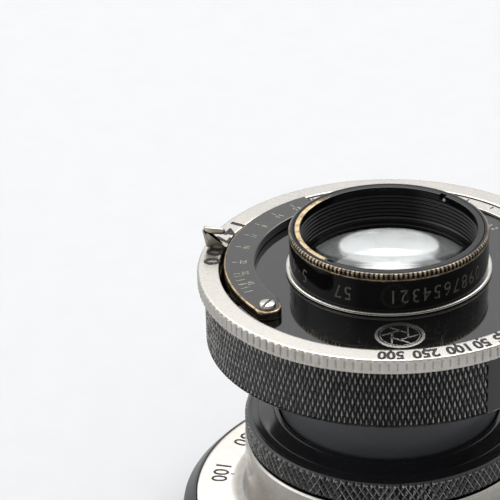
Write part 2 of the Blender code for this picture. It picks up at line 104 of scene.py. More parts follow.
# ---------- mesh building
def rounded(outline, fillet=FILLET, steps=3, spread=0.22):
    """Turn each corner of a closed (r, z) outline into an arc.

    A third number in a point is that corner's own radius, and 0 leaves the point as it is.
    Returns the points and an edge value for each: 1 on a corner that sticks out,
    -1 in one that goes in, and 0 away from corners.
    """
    corners = [np.array(point[:2], float) for point in outline]
    turn = sum(a[0] * b[1] - a[1] * b[0] for a, b in zip(corners, corners[1:] + corners[:1]))
    points, edge = [], []
    count = len(corners)
    for index, corner in enumerate(corners):
        size = outline[index][2] if len(outline[index]) > 2 else fillet
        back, ahead = corners[index - 1] - corner, corners[(index + 1) % count] - corner
        length_back, length_ahead = np.linalg.norm(back), np.linalg.norm(ahead)
        if size == 0 or min(length_back, length_ahead) < 1e-6:
            points.append(corner)
            edge.append(0.0)
            continue
        back, ahead = back / length_back, ahead / length_ahead
        cross = (ahead[0] * -back[1] + ahead[1] * back[0]) * -np.sign(turn)
        value = float(np.clip(cross * 1.5, -1.0, 1.0))     # 1 from 42 degrees of turn on
        reach = min(size, 0.4 * length_back, 0.4 * length_ahead)
        far_back = min(reach + spread, 0.48 * length_back)
        far_ahead = min(reach + spread, 0.48 * length_ahead)
        points.append(corner + back * far_back)
        edge.append(0.0)
        for step in range(steps + 1):
            share = step / steps
            points.append((1 - share) ** 2 * (corner + back * reach)
                          + 2 * share * (1 - share) * corner
                          + share ** 2 * (corner + ahead * reach))
            edge.append(value)
        points.append(corner + ahead * far_ahead)
        edge.append(0.0)
    points, edge = np.array(points), np.array(edge)
    if turn < 0:
        points, edge = points[::-1], edge[::-1]
    return points, edge


def make_mesh(co, faces, edge=None, sharp=SHARP):
    """A smooth mesh from points in mm, with the edge value kept for the materials."""
    mesh = bpy.data.meshes.new("mesh")
    mesh.from_pydata((np.asarray(co) * MM).tolist(), [], faces)
    if edge is not None:
        layer = mesh.attributes.new("edge", "FLOAT", "POINT")
        layer.data.foreach_set("value", np.asarray(edge, np.float32))
    mesh.shade_smooth()
    mesh.set_sharp_from_angle(angle=math.radians(sharp))
    return mesh


def grid(co, edge, close_rows=True):
    """A mesh over rows and columns of points, whose columns run all the way round."""
    rows, columns = co.shape[:2]
    index = np.arange(rows * columns).reshape(rows, columns)
    aside = np.roll(index, -1, axis=1)
    faces = np.stack([index, aside, np.roll(aside, -1, 0), np.roll(index, -1, 0)], axis=-1)
    if not close_rows:
        faces = faces[:-1]
    faces = faces.reshape(-1, 4)
    return make_mesh(co.reshape(-1, 3), faces.tolist(), edge.reshape(-1))


def columns_round(count=ROUND, breaks=()):
    """Azimuths all the way round, with a pair of close ones at each break."""
    azimuths = list(np.arange(count) * 360.0 / count)
    for place in breaks:
        azimuths += [place % 360.0 - 0.02, place % 360.0 + 0.02]
    return np.array(sorted(azimuths))


def turned(outline, azimuths=None, shape=None, wear=None, fillet=FILLET, depth=1.0, gain=1.0):
    """Spin a closed (r, z) outline. shape(r, z, azimuth) gives new radii, for flutes and slots.

    depth is how far the shape cuts, so that its bottoms count as recessed. gain scales the
    edge value of the corners, and wear(r, z, azimuth) adds to it, for worn metal and, on the
    knurls of the housing and focus ring, for painted highlights.
    """
    azimuths = columns_round() if azimuths is None else azimuths
    points, edge = rounded(outline, fillet)
    radius = np.repeat(points[:, :1], len(azimuths), axis=1)
    height = np.repeat(points[:, 1:], len(azimuths), axis=1)
    around = np.repeat(azimuths[None, :], len(points), axis=0)
    edge = np.repeat(gain * edge[:, None], len(azimuths), axis=1)
    if shape:
        shaped = shape(radius, height, around)
        edge = edge - np.clip((radius - shaped) / depth, 0.0, 1.0)
        radius = shaped
    if wear:
        edge = edge + wear(radius, height, around)
    angle = np.radians(around)
    co = np.stack([radius * np.cos(angle), radius * np.sin(angle), height], axis=-1)
    return grid(co, edge)


def spun(outline, segments=96):
    """Spin an open (r, z) outline that starts and ends on the axis."""
    angle = np.radians(np.arange(segments) * 360.0 / segments)
    points = np.array(outline, float)
    co = np.stack([points[:, :1] * np.cos(angle), points[:, :1] * np.sin(angle),
                   np.repeat(points[:, 1:], segments, axis=1)], axis=-1)
    mesh = grid(co, np.zeros(co.shape[:2]), close_rows=False)
    bm = bmesh.new()
    bm.from_mesh(mesh)
    bmesh.ops.remove_doubles(bm, verts=bm.verts, dist=1e-7)
    bmesh.ops.recalc_face_normals(bm, faces=bm.faces)
    bm.to_mesh(mesh)
    bm.free()
    return mesh


def inset(outline, distance):
    """Move a closed anticlockwise outline inwards by a distance."""
    before, after = np.roll(outline, 1, axis=0), np.roll(outline, -1, axis=0)
    along_in = outline - before
    along_out = after - outline
    along_in /= np.linalg.norm(along_in, axis=1)[:, None]
    along_out /= np.linalg.norm(along_out, axis=1)[:, None]
    normal = np.stack([-(along_in + along_out)[:, 1], (along_in + along_out)[:, 0]], axis=1)
    normal /= np.linalg.norm(normal, axis=1)[:, None]
    side = np.stack([-along_in[:, 1], along_in[:, 0]], axis=1)
    stretch = np.clip((normal * side).sum(axis=1), 0.5, 1.0)
    return outline + normal * (distance / stretch)[:, None]


def slab(outline, z0, z1, bevel=0.12, steps=3, worn=None):
    """A plate of a closed (x, y) outline, with rounded edges on both faces.

    worn scales the edge value of each point of the outline.
    """
    outline = np.array(outline, float)
    worn = np.ones(len(outline)) if worn is None else np.array(worn, float)
    ahead = np.roll(outline, -1, axis=0)
    if (outline[:, 0] * ahead[:, 1] - outline[:, 1] * ahead[:, 0]).sum() < 0:
        outline, worn = outline[::-1], worn[::-1]
    reach = 1.8 * bevel         # the edge value fades out over this distance
    arc = [(bevel * (1 - math.cos(a)), bevel * (1 - math.sin(a)), 1.0)
           for a in np.linspace(0.0, math.pi / 2, steps + 1)]
    half = [(0.0, reach, 0.0), *arc, (reach, 0.0, 0.0)]
    levels = [(inward, z1 - down, value) for inward, down, value in reversed(half)]
    levels += [(inward, z0 + down, value) for inward, down, value in half]
    rows = [np.column_stack([inset(outline, d), np.full(len(outline), z)]) for d, z, _ in levels]
    count = len(outline)
    faces = [list(range(count)), list(range((len(rows) - 1) * count, len(rows) * count))[::-1]]
    for row in range(len(rows) - 1):
        for index in range(count):
            following = (index + 1) % count
            a, b = row * count, (row + 1) * count
            faces.append([a + following, a + index, b + index, b + following])
    edge = np.concatenate([value * worn for _, _, value in levels])
    return make_mesh(np.concatenate(rows), faces, edge)


def arc_points(centre, radius, start, end, steps):
    """Points of an arc of azimuths about a centre."""
    places = [polar(radius, azimuth) for azimuth in np.linspace(start, end, steps + 1)]
    return [(centre[0] + x, centre[1] + y) for x, y in places]


def sector(r0, r1, start, end, step=1.5):
    """Outline of a ring sector."""
    steps = max(2, int(abs(end - start) / step))
    return (arc_points((0, 0), r1, start, end, steps)
            + arc_points((0, 0), r0, end, start, steps))


def bar_outline(x0, x1, width, steps=10):
    """Outline of a bar along X with round ends."""
    half = width / 2.0
    return (arc_points((x1 - half, 0.0), half, -90.0, 90.0, steps)
            + arc_points((x0 + half, 0.0), half, 90.0, 270.0, steps))


def joined(*meshes):
    """One mesh that holds several meshes."""
    bm = bmesh.new()
    for mesh in meshes:
        bm.from_mesh(mesh)
    result = bpy.data.meshes.new("joined")
    bm.to_mesh(result)
    bm.free()
    result.shade_smooth()
    result.set_sharp_from_angle(angle=math.radians(SHARP))
    return result


def moved(mesh, place=(0.0, 0.0, 0.0), turn=0.0, matrix=None):
    """Move a mesh by a place in mm and turn it about Z, after an optional matrix."""
    if matrix is not None:
        mesh.transform(matrix)
    shift = Matrix.Translation([value * MM for value in place])
    mesh.transform(shift @ Matrix.Rotation(math.radians(turn), 4, "Z"))
    return mesh


RADIAL = Matrix(((0, 0, 1, 0), (1, 0, 0, 0), (0, 1, 0, 0), (0, 0, 0, 1)))   # local z becomes +X


def add_object(name, data):
    obj = bpy.data.objects.new(name, data)
    bpy.context.scene.collection.objects.link(obj)
    return obj


def cut(mesh, tools):
    """Take the tool meshes out of a mesh with an exact Boolean."""
    blank = add_object("cut_blank", mesh)
    tool = add_object("cut_tool", joined(*tools))
    modifier = blank.modifiers.new("cut", "BOOLEAN")
    modifier.operation = "DIFFERENCE"
    modifier.object = tool
    bpy.context.view_layer.update()
    result = bpy.data.meshes.new_from_object(
        blank.evaluated_get(bpy.context.evaluated_depsgraph_get()))
    for obj in (blank, tool):
        bpy.data.objects.remove(obj)
    result.set_sharp_from_angle(angle=math.radians(SHARP))
    return result


def piece(name, mesh, body, slot, material, *nodes):
    """Add a finished piece: it rides on a body and stands for the given CAD nodes."""
    obj = add_object(name, mesh)
    mesh.name = name
    mesh.materials.clear()
    mesh.materials.append(material)
    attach(obj, body)
    if nodes:
        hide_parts(*nodes)
    return obj


def fine(node, mesh, body, slot, material):
    """Add the finished piece that stands for one CAD node."""
    piece(node + "_fine", mesh, body, slot, material, node)


# ---------- materials
class Shader:
    """A Principled material with short helpers for its nodes. Textures are laid out in mm."""

    def __init__(self, name, **sockets):
        self.material = bpy.data.materials.new(name)
        self.material.use_nodes = True
        self.tree = self.material.node_tree
        self.principled = self.tree.nodes["Principled BSDF"]
        for socket, value in sockets.items():
            self.principled.inputs[socket.replace("_", " ")].default_value = value
        place = self.node("ShaderNodeTexCoord").outputs["Object"]
        self.place = self.math("SCALE", place, scale=1.0 / MM)

    def node(self, kind, **settings):
        node = self.tree.nodes.new(kind)
        for key, value in settings.items():
            setattr(node, key, value)
        return node

    def link(self, source, target):
        self.tree.links.new(source, target)

    def feed(self, sockets, *values):
        """Set or link input sockets in order."""
        for socket, value in zip(sockets, values):
            if isinstance(value, bpy.types.NodeSocket):
                self.link(value, socket)
            else:
                socket.default_value = value

    def math(self, operation, *values, scale=None):
        """A vector or number operation, by its Blender name."""
        if operation in ("SCALE", "LENGTH", "MULTIPLY_VECTOR"):
            node = self.node("ShaderNodeVectorMath", operation=operation.split("_")[0])
            self.feed(node.inputs, *values)
            if scale is not None:
                node.inputs["Scale"].default_value = scale
            return node.outputs["Value" if operation == "LENGTH" else "Vector"]
        node = self.node("ShaderNodeMath", operation=operation)
        self.feed(node.inputs, *values)
        return node.outputs[0]

    def plus(self, first, second):
        return self.math("ADD", first, second)

    def times(self, first, second):
        return self.math("MULTIPLY", first, second)

    def noise(self, scale, detail=3.0, stretch=None, turn=(0.0, 0.0, 0.0), source=None):
        """Noise with features of about 1 / scale mm, stretched or turned where asked."""
        vector = source or self.place
        if stretch:
            mapping = self.node("ShaderNodeMapping")
            mapping.inputs["Rotation"].default_value = turn
            mapping.inputs["Scale"].default_value = stretch
            self.link(vector, mapping.inputs["Vector"])
            vector = mapping.outputs["Vector"]
        node = self.node("ShaderNodeTexNoise")
        node.inputs["Scale"].default_value = scale
        node.inputs["Detail"].default_value = detail
        self.link(vector, node.inputs["Vector"])
        return node.outputs["Fac"]

    def rings(self, scale):
        """Noise that changes only with the distance from the axis, as turning marks do."""
        flat = self.math("MULTIPLY_VECTOR", self.place, (1.0, 1.0, 0.15))
        node = self.node("ShaderNodeTexNoise", noise_dimensions="1D")
        node.inputs["Scale"].default_value = scale
        self.link(self.math("LENGTH", flat), node.inputs["W"])
        return node.outputs["Fac"]

    def steps(self, value, low, high, out_low=0.0, out_high=1.0):
        """A number eased from one range to another."""
        node = self.node("ShaderNodeMapRange", interpolation_type="SMOOTHSTEP")
        self.feed(node.inputs, value, low, high, out_low, out_high)
        return node.outputs["Result"]

    def mix(self, share, first, second):
        """A blend of two colours."""
        node = self.node("ShaderNodeMix", data_type="RGBA")
        self.feed((node.inputs[0], node.inputs[6], node.inputs[7]), share, first, second)
        return node.outputs[2]

    def edge(self):
        """The edge value stored in the mesh."""
        return self.node("ShaderNodeAttribute", attribute_name="edge").outputs["Fac"]

    def scratches(self, scale=1.0, low=0.64, high=0.70):
        """Sparse fine lines in two directions."""
        first = self.noise(scale, 2.0, (0.12, 5.0, 5.0), (0.0, 0.0, 0.5))
        second = self.noise(scale * 1.3, 2.0, (5.0, 0.16, 5.0), (0.0, 0.0, -0.35))
        return self.math("MAXIMUM", self.steps(first, low, high), self.steps(second, low, high))

    def bump(self, height, strength, distance=0.02):
        node = self.node("ShaderNodeBump")
        node.inputs["Strength"].default_value = strength
        node.inputs["Distance"].default_value = distance * MM
        self.link(height, node.inputs["Height"])
        self.link(node.outputs["Normal"], self.principled.inputs["Normal"])

    def drive(self, **sockets):
        """Link outputs to the shader's sockets."""
        for socket, source in sockets.items():
            self.link(source, self.principled.inputs[socket.replace("_", " ")])
        return self.material


BRASS = (0.50, 0.375, 0.215, 1.0)


def nickel(name, roughness=0.24, ringed=0.25, colour=(0.45, 0.434, 0.41, 1.0)):
    """Old nickel plate: warm, faintly blotched, scratched, and dirty in its recesses."""
    s = Shader(name, Metallic=1.0)
    blotch = s.noise(0.7, 4.0)
    fine = s.noise(9.0, 3.0)
    stained = tuple(value * share for value, share in zip(colour, (0.89, 0.87, 0.82, 1.0)))
    tone = s.mix(s.steps(blotch, 0.35, 0.7), colour, stained)
    dirt = s.steps(s.math("SUBTRACT", s.times(fine, 0.6), s.edge()), 0.75, 1.45)
    tone = s.mix(dirt, tone, (0.15, 0.115, 0.06, 1.0))
    scratch = s.scratches(1.4)
    tone = s.mix(s.times(scratch, 0.35), tone, (0.30, 0.28, 0.25, 1.0))
    specks = s.steps(s.noise(4.5, 1.0), 0.72, 0.76)
    tone = s.mix(s.times(specks, 0.6), tone, (0.16, 0.14, 0.11, 1.0))
    rough = s.plus(s.times(blotch, 0.16), roughness - 0.06)
    rough = s.plus(rough, s.times(dirt, 0.35))
    height = s.plus(s.times(s.rings(9.0), ringed), s.times(scratch, -0.3))
    s.bump(s.plus(height, s.times(fine, 0.12)), 0.12)
    return s.drive(Base_Color=tone, Roughness=rough)


def coated(name, colour, roughness, gloss, wear_from, rings=0.0, grain=0.0, metal=BRASS):
    """Black enamel or lacquer over a metal, which shows where edge value and noise add up.

    wear_from is the sum at which the metal begins to show.
    """
    s = Shader(name, IOR=gloss)
    blotch = s.noise(1.1, 4.0)
    fine = s.noise(7.0, 3.0)
    amount = s.plus(s.edge(), s.times(s.math("SUBTRACT", fine, 0.5), 0.9))
    worn = s.steps(amount, wear_from, wear_from + 0.22)
    scratch = s.scratches(1.1, 0.66, 0.71)
    dust = s.steps(s.noise(3.2, 2.0), 0.70, 0.78)
    light = tuple(min(1.0, 2.6 * value) for value in colour[:3]) + (1.0,)
    tone = s.mix(s.times(s.math("MAXIMUM", scratch, dust), 0.5), colour, light)
    dark_metal = tuple(0.35 * value for value in metal[:3]) + (1.0,)
    tone = s.mix(worn, tone, s.mix(s.steps(blotch, 0.4, 0.65), metal, dark_metal))
    rough = s.plus(s.times(blotch, 0.10), roughness - 0.05)
    rough = s.plus(rough, s.times(scratch, 0.12))
    rough = s.plus(rough, s.times(worn, max(0.0, 0.30 - roughness)))
    height = s.times(fine, grain + 0.05)
    height = s.plus(height, s.times(s.rings(7.0), rings))
    height = s.math("SUBTRACT", height, s.times(worn, 0.4))
    s.bump(height, 0.15)
    return s.drive(Base_Color=tone, Roughness=rough, Metallic=worn)


def metal(name, colour, dark, roughness, ringed):
    """Bare or blued metal with turning marks and tarnish."""
    s = Shader(name, Metallic=1.0)
    blotch = s.noise(0.9, 5.0)
    scratch = s.scratches(1.2)
    tone = s.mix(s.steps(blotch, 0.38, 0.68), colour, dark)
    tone = s.mix(s.times(scratch, 0.4), tone, dark)
    rough = s.plus(s.times(blotch, 0.2), roughness - 0.1)
    s.bump(s.plus(s.times(s.rings(8.0), ringed), scratch), 0.1)
    return s.drive(Base_Color=tone, Roughness=rough)


def glass(name, index):
    """Old uncoated glass, very faintly hazed."""
    s = Shader(name, Transmission_Weight=1.0, IOR=index, Base_Color=(0.97, 0.985, 0.975, 1.0))
    haze = s.steps(s.noise(0.5, 5.0), 0.45, 0.8, 0.0, 0.03)
    return s.drive(Roughness=haze)


def paint(name, colour, uneven):
    """Dull paint filled into an engraving, a little thin in places."""
    s = Shader(name, IOR=1.22)
    tone = s.mix(s.steps(s.noise(2.5, 4.0), 0.4, 0.75), colour, uneven)
    rough = s.steps(s.noise(3.0, 2.0), 0.3, 0.7, 0.42, 0.62)
    s.bump(s.noise(6.0, 2.0), 0.1)
    return s.drive(Base_Color=tone, Roughness=rough)


NICKEL_PLATE = nickel("aged_nickel")
FLANGE_NICKEL = nickel("flange_nickel", 0.22, 0.15, (0.43, 0.412, 0.388, 1.0))
POINTER_NICKEL = nickel("pointer_nickel", 0.24, 0.1, (0.33, 0.305, 0.26, 1.0))
FACE_ENAMEL = coated("face_enamel", (0.003, 0.003, 0.003, 1.0), 0.06, 1.7, 0.95)
PLATE_ENAMEL = coated("plate_enamel", (0.008, 0.007, 0.007, 1.0), 0.10, 1.7, 0.62,
                      metal=(0.42, 0.30, 0.15, 1.0))
CELL_ENAMEL = coated("cell_enamel", (0.003, 0.003, 0.003, 1.0), 0.08, 1.34, 0.62,
                     metal=(0.34, 0.265, 0.17, 1.0))
RING_ENAMEL = coated("ring_enamel", (0.003, 0.003, 0.003, 1.0), 0.10, 1.40, 0.62)
# The bare metal of the focus ring and the housing shows on worn edges and also makes the painted
# highlights on their knurls.
FOCUS_ENAMEL = coated("focus_enamel", (0.008, 0.008, 0.009, 1.0), 0.14, 1.6, 1.0, rings=0.5,
                      metal=(0.36, 0.345, 0.32, 1.0))
HOUSING_LACQUER = coated("housing_lacquer", (0.010, 0.010, 0.010, 1.0), 0.24, 1.5, 0.85,
                         grain=0.2, metal=(0.31, 0.305, 0.295, 1.0))
BASE_LACQUER = coated("base_lacquer", (0.012, 0.012, 0.013, 1.0), 0.30, 1.36, 1.15, grain=0.3)
BARREL_BLACK = coated("barrel_black", (0.022, 0.023, 0.026, 1.0), 0.36, 1.5, 1.3, rings=0.7)
REAR_LACQUER = coated("rear_lacquer", (0.014, 0.014, 0.015, 1.0), 0.30, 1.5, 1.0, rings=0.3)
TURNED_BRASS = metal("turned_brass", BRASS, (0.30, 0.19, 0.08, 1.0), 0.32, 0.8)
BLUED_STEEL = metal("blued_steel", (0.075, 0.08, 0.10, 1.0), (0.04, 0.04, 0.045, 1.0), 0.36, 0.3)
SPRING_STEEL = metal("spring_steel", (0.50, 0.49, 0.47, 1.0), (0.28, 0.27, 0.25, 1.0), 0.30, 0.6)
CROWN_GLASS = glass("crown_glass", 1.95)
FLINT_GLASS = glass("flint_glass", 1.60)
BLACK_PAINT = paint("black_paint", (0.012, 0.012, 0.012, 1.0), (0.05, 0.045, 0.04, 1.0))
PALE_PAINT = paint("pale_paint", (0.30, 0.30, 0.23, 1.0), (0.14, 0.14, 0.11, 1.0))
WORN_PAINT = paint("worn_paint", (0.085, 0.08, 0.062, 1.0), (0.022, 0.02, 0.018, 1.0))

CARRIED_OVER = {
    BLUED_STEEL: ([f"iris_blade_{k}" for k in range(1, 9)]
                  + [f"shutter_blade_{k}" for k in range(1, 6)]),
    TURNED_BRASS: ["focus_lock_ring", "guide_key", "shutter_lock_ring", "iris_base_ring",
                   "mechanism_plate", "aperture_ring", "speed_cam_ring"],
    RING_ENAMEL: ["front_spacer_ring"],
    SPRING_STEEL: ["focus_stop_pin", "guide_key_screw", "main_spring", "release_pivot",
                   "release_spring", "cocking_ring", "blade_ring"],
}


# ---------- marks
def glyph(text, height, weight=0.0, narrow=1.0):
    """The raised inlay of a short text, centred, with x along the line and z out of it.

    weight thickens the strokes in mm, and narrow squeezes the characters along the line.
    """
    curve = bpy.data.curves.new("glyph", "FONT")
    curve.body = text
    curve.size = height * MM * FONT_SCALE
    curve.align_x = "CENTER"
    curve.resolution_u = 3
    curve.offset = weight * MM
    curve.extrude = (INLAY + INLAY_DEPTH) / 2.0 * MM
    curve.fill_mode = "BOTH"
    obj = add_object("glyph", curve)
    bpy.context.view_layer.update()
    mesh = bpy.data.meshes.new_from_object(
        obj.evaluated_get(bpy.context.evaluated_depsgraph_get()))
    bpy.data.objects.remove(obj)
    co = np.array([v.co for v in mesh.vertices]) / MM
    co[:, 1] -= (co[:, 1].min() + co[:, 1].max()) / 2.0
    co[:, 0] = narrow * (co[:, 0] - (co[:, 0].min() + co[:, 0].max()) / 2.0)
    co[:, 2] += (INLAY - INLAY_DEPTH) / 2.0
    return co, [list(face.vertices) for face in mesh.polygons]


def bar(width, length):
    """The inlay of a straight stroke, with its length along y."""
    x, y = width / 2.0, length / 2.0
    corners = [(-x, -y), (x, -y), (x, y), (-x, y)]
    co = np.array([(*c, -INLAY_DEPTH) for c in corners] + [(*c, INLAY) for c in corners])
    faces = [[3, 2, 1, 0], [4, 5, 6, 7]]
    faces += [[k, (k + 1) % 4, (k + 1) % 4 + 4, k + 4] for k in range(4)]
    return co, faces


def ring_inlay(r0, r1, steps=64):
    """The inlay of a flat ring."""
    angle = np.radians(np.arange(steps) * 360.0 / steps)
    rows = [(r0, -INLAY_DEPTH), (r1, -INLAY_DEPTH), (r1, INLAY), (r0, INLAY)]
    co = np.concatenate([np.column_stack([r * np.cos(angle), r * np.sin(angle),
                                          np.full(steps, z)]) for r, z in rows])
    faces = []
    for row in range(4):
        a, b = row * steps, (row + 1) % 4 * steps
        for k in range(steps):
            faces.append([a + k, a + (k + 1) % steps, b + (k + 1) % steps, b + k])
    return co, faces


def on_face(shape, level, radius, azimuth, outward=True):
    """Lay a mark on a flat face, with its top outwards or towards the axis."""
    co, faces = shape
    side = 1.0 if outward else -1.0
    angle = math.radians(azimuth) - side * co[:, 0] / radius
    r = radius + side * co[:, 1]
    return np.column_stack([r * np.cos(angle), r * np.sin(angle), level + co[:, 2]]), faces


def on_wall(shape, radius, level, azimuth):
    """Lay a mark on an upright wall, with its top down."""
    co, faces = shape
    angle = math.radians(azimuth) - co[:, 0] / radius
    r = radius + co[:, 2]
    return np.column_stack([r * np.cos(angle), r * np.sin(angle), level - co[:, 1]]), faces


def marks(name, shapes, body, slot, material):
    """Join marks into one piece."""
    co, faces, count = [], [], 0
    for points, polygons in shapes:
        co.append(points)
        faces += [[index + count for index in polygon] for polygon in polygons]
        count += len(points)
    mesh = make_mesh(np.concatenate(co), faces, sharp=30.0)
    return piece(name, mesh, body, slot, material)


# ---------- knurls
def diamonds(around, height, per_turn, tall, across=1.0, along=1.0):
    """Height of a diamond knurl: 1 on its points, falling off across and along each diamond.

    With the usual slopes it reaches 0 in the grooves.
    """
    u = around / 360.0 * per_turn
    v = height / tall
    first, second = (u + v) % 1.0, (u - v) % 1.0
    return 1.0 - across * np.abs(first + second - 1.0) - along * np.abs(first - second)


def fluting(around, count):
    """Height of evenly spaced flutes or beads: 1 at their middles and 0 between them."""
    return np.abs(np.sin(np.radians(around) * count / 2.0))


def diamond_rows(radius, z0, z1, tall):
    """Wall points of a knurl from its lower to its upper edge, in step with its diamonds."""
    step = tall / KNURL_CELLS
    first = math.ceil(z0 / step) * step
    return [(radius, z, 0) for z in np.arange(first, z1, step)]


# ---------- focusing mount
def screw_mesh(head_r, depth, slot_width, slot_turn):
    """A slotted head with a slight crown, whose outer face is at z = 0 and faces up."""
    outline = [(0.0, -depth), (head_r, -depth), (head_r, -0.16), (head_r - 0.05, -0.07),
               (head_r - 0.14, -0.02), (0.0, 0.03)]
    head = spun(outline, 48)
    half = slot_width / 2.0
    reach = 1.4 * head_r
    box = [(-reach, -half), (reach, -half), (reach, half), (-reach, half)]
    tool = moved(slab(box, -0.45 * depth, 1.0, 0.02, 1), turn=slot_turn)
    return cut(head, [tool])


def base_ring():
    r0, r1, z0, z1 = span("base_ring")
    seat = span("distance_flange")[1]
    mesh = turned([
        (r0, z0), (r1 - 0.35, z0), (r1, z0 + 0.35), (r1, 2.35), (r1 - 0.12, 2.55),
        (seat + 0.35, z1 - 0.05, 0.12), (seat + 0.1, z1 - 0.05), (seat + 0.1, 2.4), (r0, 2.4)])
    screw_circle = 23.6
    places = [polar(screw_circle, 45.0 + 90.0 * k) for k in range(4)]
    holes = [moved(spun([(0, -1), (1.3, -1), (1.3, 1.25), (0, 1.25)], 32), (x, y, 0.0))
             for x, y in places]
    fine("base_ring", cut(mesh, holes), "focus_mount", "black_lacquer", BASE_LACQUER)
    over = Matrix.Rotation(math.pi, 4, "X")
    for k, (x, y) in enumerate(places):
        head = screw_mesh(1.18, 0.95, 0.34, 20.0 + 50.0 * k)
        fine(f"flange_screw_{k + 1}", moved(head, (x, y, 0.2), matrix=over), "focus_mount",
             "blued_steel", BLUED_STEEL)


def distance_flange():
    r0, r1, z0, z1 = span("distance_flange")
    face, hub = 4.2, 19.5
    bore, bore_end = 18.2, 7.0
    mesh = turned([
        (bore, z0), (r1, z0), (r1, face, 0.14), (hub, face, 2.2), (hub, z1 - 0.3, 0.05),
        (hub - 0.25, z1 - 0.05, 0.05), (r0, z1), (r0, bore_end), (bore, bore_end)], gain=0.25)
    fine("distance_flange", mesh, "focus_mount", "nickel_plate", FLANGE_NICKEL)
    figures = []
    scale = ["100", "50", "25", "15", "10", "8", "6", "5", "4", "3"]
    first, step = 173.0, 22.0
    figure_r, tick_r, short_tick_r = 23.5, 21.6, 21.4
    for k, text in enumerate(scale):
        azimuth = first - step * k
        figures.append(on_face(glyph(text, 2.3, 0.02), face, figure_r, azimuth, outward=False))
        figures.append(on_face(bar(0.16, 1.0), face, tick_r, azimuth))
        for part in (0.25, 0.5, 0.75):
            if k + 1 < len(scale):
                tick = bar(0.11, 0.55)
                figures.append(on_face(tick, face, short_tick_r, azimuth - step * part))
    marks("distance_figures", figures, "focus_mount", "nickel_plate", BLACK_PAINT)


def focus_ring():
    r0, r1, z0, z1 = span("focus_ring")
    low, high = 13.9, 16.9
    recess, recess_r, recess_top = (27.8, 252.2), 17.15, 6.9
    random = np.random.default_rng(7)
    waver = random.uniform(0.75, 1.1, FOCUS_DIAMONDS)

    def shape(r, z, around):
        inside = (around > recess[0]) & (around < recess[1]) & (z < recess_top) & (r > recess_r)
        r = np.where(inside, recess_r, r)
        height = diamonds(around, z, FOCUS_DIAMONDS, FOCUS_DIAMOND_Z)
        lot = waver[(around / 360.0 * FOCUS_DIAMONDS).astype(int) % FOCUS_DIAMONDS]
        groove = r1 - FOCUS_KNURL_DEPTH * height * lot
        return np.where((z > low) & (z < high + 0.2), np.minimum(r, groove), r)

    # Bare metal along the raised net between the pits: partly wear, partly painted highlights that
    # stand in for the glints on the ridges.
    def ridge_wear_and_painted_glints(r, z, around):
        height = diamonds(around, z, FOCUS_DIAMONDS, FOCUS_DIAMOND_Z)
        in_knurl = (z > low + 0.25) & (z < high) & (r > r1 - 1.0)
        return np.where(in_knurl, 1.5 * np.clip(1.0 - 2.6 * height, 0.0, 1.0), 0.0)

    rim = diamond_rows(r1, low + 0.3, high - 0.1, FOCUS_DIAMOND_Z)
    mesh = turned([
        (r0, z0), (18.0, z0), (18.0, 6.8), (17.05, 6.8), (17.05, low), (r1 - 0.35, low, 0.05),
        (r1, low + 0.2, 0.05), *rim, (r1, high, 0.1), (r1 - 0.5, high + 0.42, 0.12),
        (r1 - 0.75, high + 0.46, 0.05), (r1 - 0.85, high + 0.40, 0.05), (17.6, 17.42, 0.05),
        (17.5, 17.36, 0.04), (17.4, 17.44, 0.04), (16.2, 17.82, 0.3), (15.6, 18.0, 0.05),
        (15.5, 17.95, 0.04), (15.4, 18.04, 0.04), (r0 + 0.1, z1, 0.05), (r0, z1 - 0.1, 0.05)],
        columns_round(FOCUS_DIAMONDS * KNURL_CELLS, recess), shape, ridge_wear_and_painted_glints, depth=2.0)
    fine("focus_ring", mesh, "focus_ring", "black_enamel", FOCUS_ENAMEL)


def lens_barrel():
    r0, r1, z0, z1 = span("lens_barrel")
    bore, groove_r, groove_end = 12.6, 13.6, 11.6
    half = math.degrees(math.asin(1.15 / 13.1))

    def shape(r, z, around):
        groove = (z < groove_end) & (r < groove_r) & (np.abs(around - KEY_AZIMUTH) < half)
        return np.where(groove, groove_r, r)

    mesh = turned([
        (bore, z0), (r1, z0), (r1, z1, 0.05), (r0, z1), (r0, 26.6), (bore, 26.6),
        (bore, groove_end + 0.02, 0), (bore, groove_end - 0.02, 0)],
        columns_round(ROUND, (KEY_AZIMUTH - half, KEY_AZIMUTH + half)), shape, depth=50.0)
    fine("lens_barrel", mesh, "lens_head", "satin_black", BARREL_BLACK)


